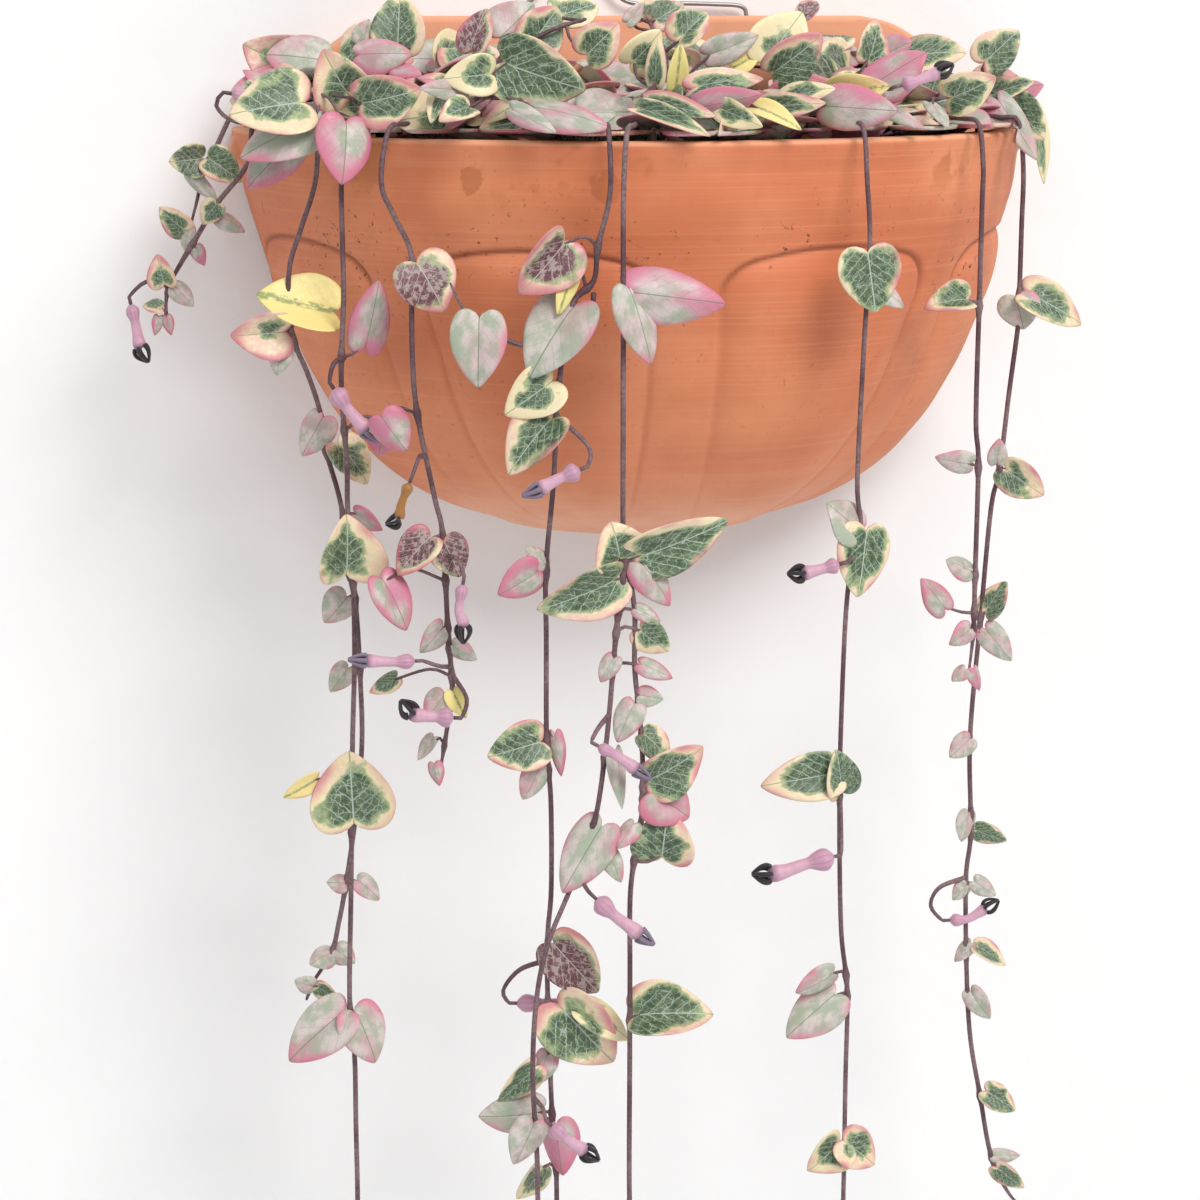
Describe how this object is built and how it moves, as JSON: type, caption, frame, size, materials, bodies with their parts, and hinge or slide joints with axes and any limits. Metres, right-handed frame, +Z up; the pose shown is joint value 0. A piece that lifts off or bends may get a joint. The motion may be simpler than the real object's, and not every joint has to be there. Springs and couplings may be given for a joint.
{
  "type": "trailing houseplant in wall pot",
  "caption": "Trailing string of hearts with variegated heart leaves and slim lantern flowers, hanging over the rim of a half-round terracotta wall pot with a wire hanger.",
  "frame": {"origin": "centre of the pot's flat back face at the height of its rim", "axes": "+X to the right, +Y into the wall, +Z up"},
  "size_m": [0.2513, 0.1245, 0.3866],
  "materials": {
    "bud_fork": "lilac-pink petals with dark tips",
    "crown_left": "fleshy grey-green, cream and pink leaves on mauve stems",
    "crown_left_middle": "fleshy grey-green, cream and pink leaves on mauve stems",
    "crown_middle": "fleshy grey-green, cream and pink leaves on mauve stems",
    "crown_right": "fleshy grey-green, cream and pink leaves on mauve stems",
    "crown_right_middle": "fleshy grey-green, cream and pink leaves on mauve stems",
    "flower_crown_left": "lilac-pink petals with dark tips",
    "flower_crown_right": "lilac-pink petals with dark tips",
    "flower_dried": "lilac-pink petals with dark tips",
    "flower_far_left": "lilac-pink petals with dark tips",
    "flower_far_right": "lilac-pink petals with dark tips",
    "flower_fork": "lilac-pink petals with dark tips",
    "flower_left_high": "lilac-pink petals with dark tips",
    "flower_left_low": "lilac-pink petals with dark tips",
    "flower_level": "lilac-pink petals with dark tips",
    "flower_low": "lilac-pink petals with dark tips",
    "flower_middle_high": "lilac-pink petals with dark tips",
    "flower_right_high": "lilac-pink petals with dark tips",
    "flower_right_low": "lilac-pink petals with dark tips",
    "flower_star": "lilac-pink petals with dark tips",
    "flower_wilted": "lilac-pink petals with dark tips",
    "hanger_wire": "thin grey galvanised wire",
    "soil": "dark potting mix with small pebbles",
    "vine_far_left": "fleshy grey-green, cream and pink leaves on mauve stems",
    "vine_far_right": "fleshy grey-green, cream and pink leaves on mauve stems",
    "vine_left_inner": "fleshy grey-green, cream and pink leaves on mauve stems",
    "vine_left_long": "fleshy grey-green, cream and pink leaves on mauve stems",
    "vine_left_twin": "fleshy grey-green, cream and pink leaves on mauve stems",
    "vine_middle": "fleshy grey-green, cream and pink leaves on mauve stems",
    "vine_middle_fork": "fleshy grey-green, cream and pink leaves on mauve stems",
    "vine_outer_left": "fleshy grey-green, cream and pink leaves on mauve stems",
    "vine_right": "fleshy grey-green, cream and pink leaves on mauve stems",
    "vine_right_short": "fleshy grey-green, cream and pink leaves on mauve stems",
    "wall_pot": "matt orange terracotta"
  },
  "bodies": {
    "root": {"bud_fork": "bud_fork", "crown_left": "crown_left", "crown_left_middle": "crown_left_middle", "crown_middle": "crown_middle", "crown_right": "crown_right", "crown_right_middle": "crown_right_middle", "flower_crown_left": "flower_crown_left", "flower_crown_right": "flower_crown_right", "flower_dried": "flower_dried", "flower_far_left": "flower_far_left", "flower_far_right": "flower_far_right", "flower_fork": "flower_fork", "flower_left_high": "flower_left_high", "flower_left_low": "flower_left_low", "flower_level": "flower_level", "flower_low": "flower_low", "flower_middle_high": "flower_middle_high", "flower_right_high": "flower_right_high", "flower_right_low": "flower_right_low", "flower_star": "flower_star", "flower_wilted": "flower_wilted", "hanger_wire": "hanger_wire", "soil": "soil", "vine_far_left": "vine_far_left", "vine_far_right": "vine_far_right", "vine_left_inner": "vine_left_inner", "vine_left_long": "vine_left_long", "vine_left_twin": "vine_left_twin", "vine_middle": "vine_middle", "vine_middle_fork": "vine_middle_fork", "vine_outer_left": "vine_outer_left", "vine_right": "vine_right", "vine_right_short": "vine_right_short", "wall_pot": "wall_pot"}
  },
  "joints": []
}
